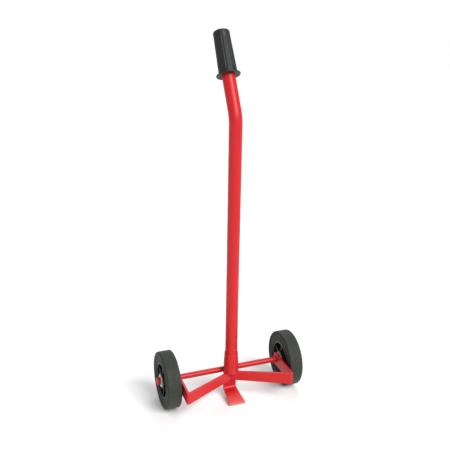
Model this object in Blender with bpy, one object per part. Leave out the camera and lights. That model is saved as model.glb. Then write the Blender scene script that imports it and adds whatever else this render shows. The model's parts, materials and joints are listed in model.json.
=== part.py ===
"""Two-wheeled lever trolley: a cranked pole stands on a low V frame between two solid wheels, with a lifting toe.

All sizes are in metres. +X runs along the axle to the right-hand wheel, -Y is the front, where the toe points, and
+Z is up. The origin is on the floor, under the middle of the trolley's width and length.
"""

import math

import bmesh
import bpy
from mathutils import Matrix, Vector

# Fits
GAP = 0.0003  # between pieces that touch or are welded
RUNNING_GAP = 0.0002  # round the axle, in the bearings that turn on it
SLACK = 0.0007  # end float of a wheel between its two washers

# Axle
AXLE_RADIUS = 0.010
AXLE_CHAMFER = 0.001
SMALL_SIDES = 24  # facets round the axle and the small turned pieces

# Wheels
WHEEL_RADIUS = 0.100
WHEEL_SIDES = 48
WHEEL_TRACK = 0.448  # between the middles of the two tyres
TYRE_WIDTH = 0.050
TYRE_SHOULDER = 0.006
TYRE_BORE = 0.064
RIM_WIDTH = 0.044
RIM_WALL = 0.006
RIM_WEB = 0.006
RIM_RIBS = 6
RIB_THICKNESS = 0.005
RIB_WIDTH = 0.034
BOSS_RADIUS = 0.027
BOSS_LENGTH = 0.046
HUB_TUBE_RADIUS = 0.018
HUB_TUBE_WALL = 0.0025
BEARING_FLANGE_RADIUS = 0.0215
BEARING_FLANGE = 0.0025
BEARING_LENGTH = 0.020

# Washers and end caps
INNER_WASHER_RADIUS = 0.017
OUTER_WASHER_RADIUS = 0.0155
OUTER_WASHER = 0.0015
CAP_RADIUS = 0.013
CAP_LENGTH = 0.0105
CAP_END = 0.0035  # thickness of the cap's closed end, at its middle
CAP_DOME = 0.003
CAP_PIN_RADIUS = 0.0015
CAP_PIN_SETBACK = 0.0005  # how far each end of the pin lies below the cap's skin

# Frame: two side plates on the axle, and two bars that run back from them to a point under the pole
FRAME_TILT = math.radians(5.8)  # the frame leans forward on its toe
PLATE_INNER = 0.185
PLATE_THICKNESS = 0.008
PLATE_HEIGHT = 0.045
PLATE_FRONT = 0.131
PLATE_REAR = 0.015
PLATE_FRONT_CORNER = 0.0012
PLATE_REAR_CORNER = 0.005
BAR_THICKNESS = 0.008
BAR_APEX = 0.031  # how far in front of the axle the front faces of the bars meet
BAR_OUTER_TOP = 0.0205
BAR_OUTER_BOTTOM = -0.0225
BAR_APEX_TOP = 0.0050
BAR_APEX_BOTTOM = -0.030

# Pole and its socket
POLE_SET_FORWARD = 0.0265  # the pole's middle line, in front of the axle
POLE_RAKE = math.radians(1.2)  # it leans back from square to the side plates
POLE_RADIUS = 0.0212
POLE_WALL = 0.0026
POLE_SIDES = 32
POLE_TO_CRANK = 0.907
CRANK_ANGLE = math.radians(30.5)
CRANK_RADIUS = 0.090
CRANK_STEPS = 8
POLE_ABOVE_CRANK = 0.276
SOCKET_BOTTOM = 0.0085
SOCKET_TOP = 0.084
SOCKET_FLOOR = 0.020
SOCKET_RADIUS = 0.0260
SOCKET_TOP_RADIUS = 0.0236
SOCKET_STRAIGHT = 0.036
SOCKET_CHAMFER = 0.0016

# Hand grip
GRIP_START = 0.138  # above the crank, along the pole
GRIP_LENGTH = 0.146
GRIP_END_WALL = 0.007
GRIP_RADIUS = 0.0300
GRIP_TOP_RADIUS = 0.0260
GRIP_EDGE = 0.005
GRIP_FLANGE_RADIUS = 0.0385
GRIP_FLANGE = 0.004

# Lifting toe: a flat bar, bent forward under the frame, that flares towards its tip
TOE_THICKNESS = 0.011
TOE_NECK_WIDTH = 0.046
TOE_TIP_WIDTH = 0.060
TOE_INNER_BEND = 0.010
TOE_STEPS = 6  # along the bend, and along the flaring blade
TOE_SLOPE = math.radians(17.0)  # of the lifting face, when the trolley stands
TOE_TIP_REACH = 0.090  # in front of the axle
TOE_TIP_HEIGHT = 0.0095  # less than the bar is thick, because the tip is ground flat where it stands
TOE_SHANK_TOP = 0.0055
TOE_CHAMFER = 0.0012

ARC_STEPS = 4
SMOOTH_BELOW = math.radians(35)

FRONT_REACH = PLATE_FRONT * math.cos(FRAME_TILT) + PLATE_HEIGHT / 2 * math.sin(FRAME_TILT)
AXLE_Y = (FRONT_REACH - WHEEL_RADIUS) / 2
X_AXIS = Vector((1, 0, 0))
Z_AXIS = Vector((0, 0, 1))


def clear_scene():
    for old in list(bpy.data.objects):
        bpy.data.objects.remove(old)


def material(name, colour, roughness, metallic):
    new = bpy.data.materials.new(name)
    new.use_nodes = True
    shader = new.node_tree.nodes["Principled BSDF"]
    shader.inputs["Base Color"].default_value = (*colour, 1)
    shader.inputs["Roughness"].default_value = roughness
    shader.inputs["Metallic"].default_value = metallic
    return new


def empty(name, location, rotation_x=0.0, parent=None):
    """A placing frame for the pieces under it. It has no shape of its own."""
    new = bpy.data.objects.new(name, None)
    new.location = location
    new.rotation_euler.x = rotation_x
    new.parent = parent
    bpy.context.scene.collection.objects.link(new)
    return new


def piece(name, bm, finish, parent, location=(0, 0, 0)):
    """Turns a bmesh into a named object with its material, and frees the bmesh."""
    bmesh.ops.recalc_face_normals(bm, faces=bm.faces)
    mesh = bpy.data.meshes.new(name)
    bm.to_mesh(mesh)
    bm.free()
    mesh.materials.append(finish)
    mesh.shade_smooth()
    mesh.set_sharp_from_angle(angle=SMOOTH_BELOW)
    new = bpy.data.objects.new(name, mesh)
    new.parent = parent
    new.location = location
    bpy.context.scene.collection.objects.link(new)
    return new


def helper(name, bm, parent, location=(0, 0, 0)):
    """A shape that only cuts or joins another, so it is left out of the model."""
    new = piece(name, bm, STEEL, parent, location)
    new.hide_render = True
    new.display_type = "WIRE"
    return new


def boolean(target, other, operation):
    modifier = target.modifiers.new(other.name, "BOOLEAN")
    modifier.operation = operation
    modifier.object = other


def turned(outline, axis=X_AXIS, sides=SMALL_SIDES, closed=True):
    """Spins an outline of (distance along the axis, radius) points. An open outline starts and ends on the axis."""
    outwards = Z_AXIS if axis == X_AXIS else X_AXIS
    bm = bmesh.new()
    verts = [bm.verts.new(axis * along + outwards * radius) for along, radius in outline]
    pairs = list(zip(verts, verts[1:]))
    if closed:
        pairs.append((verts[-1], verts[0]))
    edges = [bm.edges.new(pair) for pair in pairs]
    bmesh.ops.spin(
        bm, geom=verts + edges, cent=(0, 0, 0), axis=axis, angle=math.tau, steps=sides, use_merge=True
    )
    bmesh.ops.remove_doubles(bm, verts=bm.verts, dist=GAP / 10)
    return bm


def ring(start, end, bore, radius, sides=SMALL_SIDES, axis=X_AXIS):
    return turned([(start, bore), (end, bore), (end, radius), (start, radius)], axis, sides)


def rod(start, end, radius, chamfer=0.0, sides=SMALL_SIDES, axis=X_AXIS):
    outline = [(start, 0), (start, radius - chamfer), (start + chamfer, radius)]
    outline += [(end - chamfer, radius), (end, radius - chamfer), (end, 0)]
    return turned(outline, axis, sides, closed=False)


def box(low, high):
    bm = bmesh.new()
    size = Vector(high) - Vector(low)
    middle = (Vector(high) + Vector(low)) / 2
    bmesh.ops.create_cube(bm, size=1, matrix=Matrix.Translation(middle) @ Matrix.Diagonal((*size, 1)))
    return bm


def arc(centre, radius, start, end, steps=ARC_STEPS):
    """Points on a circle in a plane, from one angle to another."""
    angles = [start + (end - start) * step / steps for step in range(steps + 1)]
    return [(centre[0] + radius * math.cos(angle), centre[1] + radius * math.sin(angle)) for angle in angles]


# ---- Wheels: tyre, ribbed rim, hub tube and two flanged bearings, all turning on the axle ----


def make_tyre(side, wheel):
    half = TYRE_WIDTH / 2
    middle = half - TYRE_SHOULDER
    crown = WHEEL_RADIUS - TYRE_SHOULDER
    outline = [(half, TYRE_BORE)]
    outline += arc((middle, crown), TYRE_SHOULDER, 0, math.pi / 2)
    outline += arc((-middle, crown), TYRE_SHOULDER, math.pi / 2, math.pi)
    outline += [(-half, TYRE_BORE)]
    piece(f"{side}_tyre", turned(outline, sides=WHEEL_SIDES), RUBBER, wheel)


def make_rim(side, wheel):
    seat = TYRE_BORE - GAP
    inside = seat - RIM_WALL
    half, web, boss = RIM_WIDTH / 2, RIM_WEB / 2, BOSS_LENGTH / 2
    outline = [(boss, 0), (boss, BOSS_RADIUS), (web, BOSS_RADIUS), (web, inside), (half, inside), (half, seat)]
    outline += [(-along, radius) for along, radius in reversed(outline)]
    rim = piece(f"{side}_rim", turned(outline, sides=WHEEL_SIDES, closed=False), RIM_PLASTIC, wheel)
    reach = inside + RIM_WALL / 2
    for number in range(RIM_RIBS // 2):
        bm = box((-RIB_WIDTH / 2, -RIB_THICKNESS / 2, -reach), (RIB_WIDTH / 2, RIB_THICKNESS / 2, reach))
        turn = math.tau * (number + 0.5) / RIM_RIBS
        bmesh.ops.rotate(bm, verts=bm.verts, cent=(0, 0, 0), matrix=Matrix.Rotation(turn, 3, "X"))
        boolean(rim, helper(f"{side}_rim_rib_{number + 1}", bm, wheel), "UNION")
    bore = rod(-BOSS_LENGTH, BOSS_LENGTH, HUB_TUBE_RADIUS + GAP)
    boolean(rim, helper(f"{side}_rim_bore", bore, wheel), "DIFFERENCE")


def make_hub(side, wheel):
    tube_bore = HUB_TUBE_RADIUS - HUB_TUBE_WALL
    half = BOSS_LENGTH / 2
    piece(f"{side}_hub_tube", ring(-half, half, tube_bore, HUB_TUBE_RADIUS), STEEL, wheel)
    outwards = 1 if side == "right" else -1
    for place, direction in (("outer", outwards), ("inner", -outwards)):
        bore = AXLE_RADIUS + RUNNING_GAP
        face = half + GAP
        outline = [(half - BEARING_LENGTH, bore), (face + BEARING_FLANGE, bore)]
        outline += [(face + BEARING_FLANGE, BEARING_FLANGE_RADIUS), (face, BEARING_FLANGE_RADIUS)]
        outline += [(face, tube_bore - GAP), (half - BEARING_LENGTH, tube_bore - GAP)]
        outline = [(along * direction, radius) for along, radius in outline]
        piece(f"{side}_{place}_bearing", turned(outline), NYLON, wheel)


# ---- Axle: the rod, and what holds each wheel on it ----


def cap_pin_place():
    """Distance from the middle of the axle to the pin that holds each end cap."""
    return cap_start() + (CAP_LENGTH - CAP_END) / 2


def bearing_face():
    return WHEEL_TRACK / 2 + BOSS_LENGTH / 2 + GAP + BEARING_FLANGE


def cap_start():
    return bearing_face() + SLACK + OUTER_WASHER + GAP


def pin_holes(name, frame):
    """One drill for each end of the axle, straight down through cap and rod."""
    for side in (-1, 1):
        drill = rod(-CAP_RADIUS * 2, CAP_RADIUS * 2, CAP_PIN_RADIUS + GAP, axis=Z_AXIS)
        yield helper(f"{name}_drill_{side + 2}", drill, frame, (side * cap_pin_place(), 0, 0))


def make_axle(frame):
    end = cap_start() + CAP_LENGTH - CAP_END - GAP
    axle = piece("axle_rod", rod(-end, end, AXLE_RADIUS, AXLE_CHAMFER), RED_PAINT, frame)
    for drill in pin_holes("axle", frame):
        boolean(axle, drill, "DIFFERENCE")


def make_axle_end(side, frame, drill):
    """Washer against the side plate, washer against the wheel, and the cap with its pin."""
    sign = 1 if side == "right" else -1
    bore = AXLE_RADIUS + GAP
    plate_face = PLATE_INNER + PLATE_THICKNESS + GAP
    inner_face = WHEEL_TRACK - bearing_face() - SLACK
    piece(f"{side}_inner_washer", ring(sign * plate_face, sign * inner_face, bore, INNER_WASHER_RADIUS), ZINC, frame)
    outer = bearing_face() + SLACK
    piece(
        f"{side}_outer_washer", ring(sign * outer, sign * (outer + OUTER_WASHER), bore, OUTER_WASHER_RADIUS), ZINC, frame
    )
    start, end = cap_start(), cap_start() + CAP_LENGTH
    edge = end - CAP_DOME
    outline = [(end - CAP_END, 0), (end - CAP_END, bore), (start, bore), (start, CAP_RADIUS)]
    for point in arc((0, 0), 1, math.pi / 2, 0):
        outline.append((edge + CAP_DOME * point[0], CAP_RADIUS * point[1]))
    outline = [(sign * along, radius) for along, radius in outline]
    cap = piece(f"{side}_axle_cap", turned(outline, closed=False), RED_PAINT, frame)
    boolean(cap, drill, "DIFFERENCE")
    reach = CAP_RADIUS - CAP_PIN_SETBACK
    pin = rod(-reach, reach, CAP_PIN_RADIUS, sides=SMALL_SIDES // 2, axis=Z_AXIS)
    piece(f"{side}_cap_pin", pin, ZINC, frame, (sign * cap_pin_place(), 0, 0))


# ---- Frame ----


def make_side_plate(side, frame):
    sign = 1 if side == "right" else -1
    near, far = sorted((sign * PLATE_INNER, sign * (PLATE_INNER + PLATE_THICKNESS)))
    bm = box((near, -PLATE_FRONT, -PLATE_HEIGHT / 2), (far, PLATE_REAR, PLATE_HEIGHT / 2))
    for end, radius in ((-PLATE_FRONT, PLATE_FRONT_CORNER), (PLATE_REAR, PLATE_REAR_CORNER)):
        corners = [edge for edge in bm.edges if all(abs(vert.co.y - end) < GAP for vert in edge.verts)]
        corners = [edge for edge in corners if edge.verts[0].co.x != edge.verts[1].co.x]
        bmesh.ops.bevel(
            bm, geom=corners, offset=radius, segments=ARC_STEPS, affect="EDGES", profile=0.5, material=-1
        )
    plate = piece(f"{side}_side_plate", bm, RED_PAINT, frame)
    hole = rod(-PLATE_THICKNESS * 2, PLATE_THICKNESS * 2, AXLE_RADIUS + GAP)
    boolean(plate, helper(f"{side}_plate_hole", hole, frame, ((near + far) / 2, 0, 0)), "DIFFERENCE")


def bar_depth():
    """A diagonal bar's thickness, measured straight back."""
    return BAR_THICKNESS * math.hypot(PLATE_INNER, PLATE_FRONT - BAR_APEX) / PLATE_INNER


def make_diagonal_bar(side, frame):
    """A flat bar on edge from the side plate back to the apex. It drops and narrows towards the apex."""
    sign = 1 if side == "right" else -1
    outer, inner = PLATE_INNER - GAP, GAP / 2
    bm = box((0, 0, 0), (1, 1, 1))
    for vert in bm.verts:
        to_plate, to_back, to_top = vert.co
        top = BAR_APEX_TOP + (BAR_OUTER_TOP - BAR_APEX_TOP) * to_plate
        bottom = BAR_APEX_BOTTOM + (BAR_OUTER_BOTTOM - BAR_APEX_BOTTOM) * to_plate
        front = BAR_APEX + (PLATE_FRONT - BAR_APEX) * to_plate
        vert.co.x = sign * (inner + (outer - inner) * to_plate)
        vert.co.y = bar_depth() * to_back - front
        vert.co.z = bottom + (top - bottom) * to_top
    piece(f"{side}_diagonal_bar", bm, RED_PAINT, frame)


def in_frame(along_floor, height):
    """Turns a place beside the standing trolley, measured from under the axle, into the tilted frame's (y, z)."""
    level, rise = along_floor, height - WHEEL_RADIUS
    y = level * math.cos(FRAME_TILT) + rise * math.sin(FRAME_TILT)
    z = rise * math.cos(FRAME_TILT) - level * math.sin(FRAME_TILT)
    return Vector((y, z))


def between(start, end, steps=TOE_STEPS):
    """Points inside a straight stretch, without its ends."""
    return [tuple(start.lerp(end, step / steps)) for step in range(1, steps)]


def make_toe(frame):
    """The bar's side view: down the shank, which fills the space between apex and axle, and out to the tip."""
    slope = TOE_SLOPE - FRAME_TILT
    forward = Vector((-math.cos(slope), -math.sin(slope)))
    down = Vector((math.sin(slope), -math.cos(slope)))
    tip = in_frame(-TOE_TIP_REACH, TOE_TIP_HEIGHT)
    sole = tip + down * (TOE_TIP_HEIGHT / math.cos(TOE_SLOPE))
    ground_away = TOE_THICKNESS * math.cos(TOE_SLOPE) - TOE_TIP_HEIGHT
    heel = tip + down * TOE_THICKNESS - forward * (ground_away / math.sin(TOE_SLOPE))
    front = bar_depth() + GAP - BAR_APEX
    turn = math.pi / 2 - slope
    corner = tip - forward * ((tip.x - front) / forward.x)
    centre = (front - TOE_INNER_BEND, corner.y + TOE_INNER_BEND * math.tan(turn / 2))
    inside = arc(centre, TOE_INNER_BEND, 0, -turn, TOE_STEPS)
    outside = arc(centre, TOE_INNER_BEND + TOE_THICKNESS, -turn, 0, TOE_STEPS)
    outline = [(front, TOE_SHANK_TOP)] + inside + between(Vector(inside[-1]), tip)
    outline += [tuple(tip), tuple(sole), tuple(heel)]
    outline += between(heel, Vector(outside[0])) + outside + [(front + TOE_THICKNESS, TOE_SHANK_TOP)]
    bm = bmesh.new()
    face = bm.faces.new([bm.verts.new((-0.5, y, z)) for y, z in outline])
    made = bmesh.ops.extrude_face_region(bm, geom=[face])["geom"]
    bmesh.ops.translate(bm, verts=[item for item in made if isinstance(item, bmesh.types.BMVert)], vec=X_AXIS)
    for vert in bm.verts:
        along = min(max((centre[0] - vert.co.y) / (centre[0] - tip.x), 0), 1)
        vert.co.x *= TOE_NECK_WIDTH + (TOE_TIP_WIDTH - TOE_NECK_WIDTH) * along**2
    bmesh.ops.recalc_face_normals(bm, faces=bm.faces)
    rims = [edge for edge in bm.edges if abs(edge.verts[0].co.x - edge.verts[1].co.x) < TOE_NECK_WIDTH / 2]
    bmesh.ops.bevel(bm, geom=rims, offset=TOE_CHAMFER, segments=1, affect="EDGES", profile=0.5, material=-1)
    piece("lifting_toe", bm, RED_PAINT, frame)


# ---- Pole, socket and grip ----


def make_socket(pole, frame):
    """A turned socket, coped over the front of the axle, with a floor that the pole stands on."""
    bore = POLE_RADIUS + GAP
    outline = [(SOCKET_FLOOR, 0), (SOCKET_FLOOR, bore), (SOCKET_TOP, bore)]
    outline += [(SOCKET_TOP, SOCKET_TOP_RADIUS - SOCKET_CHAMFER / 2), (SOCKET_TOP - SOCKET_CHAMFER, SOCKET_TOP_RADIUS)]
    outline += [(SOCKET_STRAIGHT, SOCKET_RADIUS), (SOCKET_BOTTOM, SOCKET_RADIUS), (SOCKET_BOTTOM, 0)]
    socket = piece("pole_socket", turned(outline, Z_AXIS, POLE_SIDES, closed=False), RED_PAINT, pole)
    cope = rod(-SOCKET_RADIUS * 2, SOCKET_RADIUS * 2, AXLE_RADIUS + GAP)
    boolean(socket, helper("socket_cope", cope, frame), "DIFFERENCE")


def make_pole(pole):
    """A hollow tube: a ring of faces, drawn up the pole, swung round the crank and drawn out to the grip."""
    bm = bmesh.new()
    foot = SOCKET_FLOOR + GAP
    rings = []
    for radius in (POLE_RADIUS, POLE_RADIUS - POLE_WALL):
        made = bmesh.ops.create_circle(
            bm, segments=POLE_SIDES, radius=radius, matrix=Matrix.Translation(Z_AXIS * foot)
        )
        rings += {edge for vert in made["verts"] for edge in vert.link_edges}
    end = bmesh.ops.bridge_loops(bm, edges=rings)["faces"]
    bend_start = POLE_TO_CRANK - CRANK_RADIUS * math.tan(CRANK_ANGLE / 2)
    end = drawn(bm, end, Z_AXIS * (bend_start - foot))
    centre = Vector((0, CRANK_RADIUS, bend_start))
    swung = bmesh.ops.spin(bm, geom=end, cent=centre, axis=X_AXIS, angle=-CRANK_ANGLE, steps=CRANK_STEPS)
    bmesh.ops.delete(bm, geom=end, context="FACES_ONLY")
    end = [item for item in swung["geom_last"] if isinstance(item, bmesh.types.BMFace)]
    rest = POLE_ABOVE_CRANK - CRANK_RADIUS * math.tan(CRANK_ANGLE / 2)
    drawn(bm, end, Matrix.Rotation(-CRANK_ANGLE, 3, "X") @ Z_AXIS * rest)
    bmesh.ops.delete(bm, geom=end, context="FACES_ONLY")
    piece("pole_tube", bm, RED_PAINT, pole)


def drawn(bm, faces, offset):
    """Extrudes the faces by an offset, and returns the faces at the new end."""
    made = bmesh.ops.extrude_face_region(bm, geom=faces)["geom"]
    bmesh.ops.translate(bm, verts=[item for item in made if isinstance(item, bmesh.types.BMVert)], vec=offset)
    return [item for item in made if isinstance(item, bmesh.types.BMFace)]


def make_grip(pole):
    crank = empty("crank_line", (0, 0, POLE_TO_CRANK), -CRANK_ANGLE, pole)
    bore = POLE_RADIUS + GAP
    outline = [(GRIP_LENGTH - GRIP_END_WALL, 0), (GRIP_LENGTH - GRIP_END_WALL, bore), (0, bore)]
    outline += [(0, GRIP_FLANGE_RADIUS), (GRIP_FLANGE, GRIP_FLANGE_RADIUS), (GRIP_FLANGE, GRIP_RADIUS)]
    for radius, along in arc((GRIP_TOP_RADIUS - GRIP_EDGE, GRIP_LENGTH - GRIP_EDGE), GRIP_EDGE, 0, math.pi / 2):
        outline.append((along, radius))
    outline.append((GRIP_LENGTH, 0))
    grip = turned(outline, Z_AXIS, POLE_SIDES, closed=False)
    piece("hand_grip", grip, GRIP_PLASTIC, crank, (0, 0, GRIP_START))


clear_scene()
RED_PAINT = material("red_paint", (0.64, 0.03, 0.033), 0.35, 0.0)
RUBBER = material("tyre_rubber", (0.045, 0.052, 0.045), 0.8, 0.0)
RIM_PLASTIC = material("rim_plastic", (0.02, 0.021, 0.021), 0.5, 0.0)
NYLON = material("bearing_nylon", (0.66, 0.60, 0.50), 0.45, 0.0)
STEEL = material("hub_steel", (0.45, 0.45, 0.46), 0.4, 1.0)
ZINC = material("zinc_plate", (0.62, 0.62, 0.60), 0.35, 1.0)
GRIP_PLASTIC = material("grip_plastic", (0.035, 0.042, 0.035), 0.55, 0.0)

frame_line = empty("frame_line", (0, AXLE_Y, WHEEL_RADIUS), FRAME_TILT)
pole_line = empty("pole_line", (0, -POLE_SET_FORWARD, 0), -POLE_RAKE, frame_line)
make_axle(frame_line)
for SIDE, DRILL in zip(("left", "right"), list(pin_holes("cap", frame_line))):
    make_axle_end(SIDE, frame_line, DRILL)
    make_side_plate(SIDE, frame_line)
    make_diagonal_bar(SIDE, frame_line)
    WHEEL_X = WHEEL_TRACK / 2 * (1 if SIDE == "right" else -1)
    wheel_line = empty(f"{SIDE}_wheel_line", (WHEEL_X, AXLE_Y, WHEEL_RADIUS))
    make_tyre(SIDE, wheel_line)
    make_rim(SIDE, wheel_line)
    make_hub(SIDE, wheel_line)
make_socket(pole_line, frame_line)
make_pole(pole_line)
make_grip(pole_line)
make_toe(frame_line)
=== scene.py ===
# %% [markdown]
# # Dressing a two-wheeled lever trolley
#
# The trolley is a lever on wheels. A toe of flat steel goes under a heavy load, and pulling the long pole
# back lifts it. Its design is finished: a frame of plain solids, with every size, place and joint
# settled.
#
# This lesson turns those solids into something that looks made. Each solid is either given a finish, or
# is replaced by a piece of the same size with the rounded edges, ribs and welds that the real one has.
# Nothing may move: each new piece is checked against the solid that it stands for.

# %% Load the frame
import json
import math

import bmesh
import bpy
from mathutils import Matrix, Vector


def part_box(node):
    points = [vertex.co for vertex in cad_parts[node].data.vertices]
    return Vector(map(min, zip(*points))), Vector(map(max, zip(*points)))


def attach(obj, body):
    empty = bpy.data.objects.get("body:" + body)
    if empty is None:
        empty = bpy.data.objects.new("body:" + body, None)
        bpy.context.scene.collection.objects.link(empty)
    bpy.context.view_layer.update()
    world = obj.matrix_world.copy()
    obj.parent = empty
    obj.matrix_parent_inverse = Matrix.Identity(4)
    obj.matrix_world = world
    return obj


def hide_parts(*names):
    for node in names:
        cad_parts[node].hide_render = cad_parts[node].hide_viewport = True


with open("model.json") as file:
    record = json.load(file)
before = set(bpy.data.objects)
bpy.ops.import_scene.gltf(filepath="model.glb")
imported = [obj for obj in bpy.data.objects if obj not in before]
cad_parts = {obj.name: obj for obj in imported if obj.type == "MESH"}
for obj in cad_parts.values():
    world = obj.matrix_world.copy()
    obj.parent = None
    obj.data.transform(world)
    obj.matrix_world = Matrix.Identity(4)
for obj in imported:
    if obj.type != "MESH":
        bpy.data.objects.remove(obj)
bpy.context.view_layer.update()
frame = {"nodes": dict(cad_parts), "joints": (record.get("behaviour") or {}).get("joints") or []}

MM = 0.001

# %% [markdown]
# ## The camera
#
# The camera comes first, so that every later choice can be judged through it. It stands to the front and
# left of the trolley at about the height of the grip, and looks down a little, as a person does who is
# about to take hold. A camera looks along its own -Z. Its three axes could be typed as Euler angles, but
# building them from a heading and a dip keeps the meaning of each number plain, and the last turn, the
# roll, is then about the line of sight.

# %% Camera
CAMERA_PLACE = Vector((-0.7468, -2.0372, 1.2736))
CAMERA_HEADING = math.radians(19.94)  # to the right of straight ahead
CAMERA_DIP = math.radians(16.44)  # below the horizon
CAMERA_ROLL = math.radians(-0.77)
LENS = 54.3  # mm, on a sensor 36 mm wide
SHIFT = (-0.0017, 0.0025)

turn = Matrix.Rotation(-CAMERA_HEADING, 4, "Z")
dip = Matrix.Rotation(math.pi / 2 - CAMERA_DIP, 4, "X")
roll = Matrix.Rotation(CAMERA_ROLL, 4, "Z")
camera = bpy.data.objects.new("camera", bpy.data.cameras.new("camera"))
camera.matrix_world = Matrix.Translation(CAMERA_PLACE) @ turn @ dip @ roll
camera.data.lens = LENS
camera.data.shift_x, camera.data.shift_y = SHIFT
bpy.context.scene.collection.objects.link(camera)
bpy.context.scene.camera = camera
print("camera", round((CAMERA_PLACE - Vector((0, 0, 0.6))).length, 2), "m from the middle of the pole")

# %% [markdown]
# ## Where things are
#
# The wheels' joints give the middle of the axle. The trolley rests on its toe, so its steel frame leans
# forward on the axle, and the pole leans back a little from that. One matrix for each of these lets every
# piece be drawn upright and square, as on a drawing, and then be put in place in its mesh. Its object
# stays at the origin.

# %% Places
WHEEL_CENTRES = {joint["child"].split("_")[0]: Vector(joint["pos_m"]) for joint in frame["joints"]}
SIDES = {"left": -1, "right": 1}
FRAME_TILT = math.radians(5.8)
POLE_RAKE = math.radians(1.2)
POLE_SET_FORWARD = 26.5 * MM
POLE_TO_CRANK = 907 * MM
CRANK_ANGLE = math.radians(30.5)
GRIP_START = 138 * MM

axle_middle = (WHEEL_CENTRES["left"] + WHEEL_CENTRES["right"]) / 2
FRAME_LINE = Matrix.Translation(axle_middle) @ Matrix.Rotation(FRAME_TILT, 4, "X")
POLE_LINE = FRAME_LINE @ Matrix.Translation((0, -POLE_SET_FORWARD, 0)) @ Matrix.Rotation(-POLE_RAKE, 4, "X")
CRANK_LINE = POLE_LINE @ Matrix.Translation((0, 0, POLE_TO_CRANK)) @ Matrix.Rotation(-CRANK_ANGLE, 4, "X")
GRIP_LINE = CRANK_LINE @ Matrix.Translation((0, 0, GRIP_START))


def outwards(side, place):
    """A placing matrix whose own +Z points from the middle of the trolley out along the axle."""
    return Matrix.Translation(place) @ Matrix.Rotation(SIDES[side] * math.pi / 2, 4, "Y")


print("axle at", axle_middle.to_tuple(4), "and grip from", GRIP_LINE.translation.to_tuple(3))

# %% [markdown]
# ## Finishes: colours and nodes
#
# A colour seen on a screen is stored as sRGB, and a shader works in linear light, so one function turns
# the familiar six-digit code into what a socket wants. Another adds any node, sets its properties, and
# fills its sockets with a value or with a link. A third starts a material. Whatever is the same all over
# goes straight on the shader's own sockets, because a game engine or another program can then read it.

# %% Colours and nodes


def colour(code):
    """A linear RGBA colour from an sRGB hex code."""
    values = [int(code[place : place + 2], 16) / 255 for place in (1, 3, 5)]
    return [value / 12.92 if value <= 0.04045 else ((value + 0.055) / 1.055) ** 2.4 for value in values] + [1]


def add(material, kind, sockets, **settings):
    """Adds a node. Each socket, by name or number, gets a value, or a link from another node's output."""
    new = material.node_tree.nodes.new("ShaderNode" + kind)
    for name, value in settings.items():
        setattr(new, name, value)
    for name, value in sockets.items():
        if isinstance(value, bpy.types.NodeSocket):
            material.node_tree.links.new(value, new.inputs[name])
        else:
            new.inputs[name].default_value = value
    return new


def new_material(name, uniform):
    """Starts a material: its name, and the shader values that are the same all over."""
    material = bpy.data.materials.new(name)
    material.use_nodes = True
    for socket, value in uniform.items():
        material.node_tree.nodes["Principled BSDF"].inputs[socket].default_value = value
    return material


def feed(material, socket, source):
    """Links a node's output to the material's shader."""
    material.node_tree.links.new(source, material.node_tree.nodes["Principled BSDF"].inputs[socket])


def every(millimetres):
    """The Scale of a texture whose pattern repeats about every so many millimetres."""
    return 1 / (millimetres * MM)


print("a mid grey of sRGB #808080 is", round(colour("#808080")[0], 3), "in linear light")

# %% [markdown]
# ## Red powder coat
#
# The steel is sprayed with dry polyester powder and baked, and the powder melts into a tough skin. It
# flows less than wet paint, so it keeps a faint orange peel, which breaks up its highlights. That is the
# semi-gloss look. Handling polishes it along edges, where it turns paler.
#
# The colour drifts slightly over a hand's width. The peel is bump only, since no shape that fine shows.
# Real peel is 1 to 2 mm across, and here it is 3 mm, because anything finer is lost from where the camera
# stands.

# %% Powder coat
RED = "#C21217"
RED_DEEP = "#B30F14"
RED_RUBBED = "#D24441"


def powder_coat(name):
    """Baked polyester powder on steel: an even red skin with soft, slightly broken highlights."""
    coat = new_material(name, {"Metallic": 0.0, "IOR": 1.5, "Specular IOR Level": 0.36})
    place = add(coat, "TexCoord", {}).outputs["Object"]
    drift = add(coat, "TexNoise", {"Vector": place, "Scale": every(85), "Detail": 3.0})
    tone = add(
        coat, "Mix", {0: drift.outputs["Fac"], 6: colour(RED_DEEP), 7: colour(RED)}, data_type="RGBA"
    ).outputs[2]
    handled = add(coat, "TexNoise", {"Vector": place, "Scale": every(11), "Detail": 5.0, "Roughness": 0.65})
    patches = add(coat, "MapRange", {"Value": handled.outputs["Fac"], "From Min": 0.42, "From Max": 0.6})
    edge = add(coat, "Attribute", {}, attribute_name="edge").outputs["Fac"]
    rubbed = add(coat, "Math", {0: edge, 1: patches.outputs["Result"]}, operation="MULTIPLY").outputs[0]
    tone = add(coat, "Mix", {0: rubbed, 6: tone, 7: colour(RED_RUBBED)}, data_type="RGBA").outputs[2]
    feed(coat, "Base Color", tone)
    gloss = add(
        coat,
        "MapRange",
        {"Value": handled.outputs["Fac"], "From Min": 0.3, "From Max": 0.7, "To Min": 0.34, "To Max": 0.46},
    )
    feed(coat, "Roughness", gloss.outputs["Result"])
    peel = add(coat, "TexNoise", {"Vector": place, "Scale": every(3), "Detail": 2.0})
    bump = add(coat, "Bump", {"Height": peel.outputs["Fac"], "Distance": 0.12 * MM, "Strength": 0.5})
    feed(coat, "Normal", bump.outputs["Normal"])
    return coat


# An even, slightly soft red that catches a broad highlight along each tube and edge.
POWDER_COAT = powder_coat("red_powder_coat")
print("made", POWDER_COAT.name, "with", len(POWDER_COAT.node_tree.nodes), "nodes")

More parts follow.
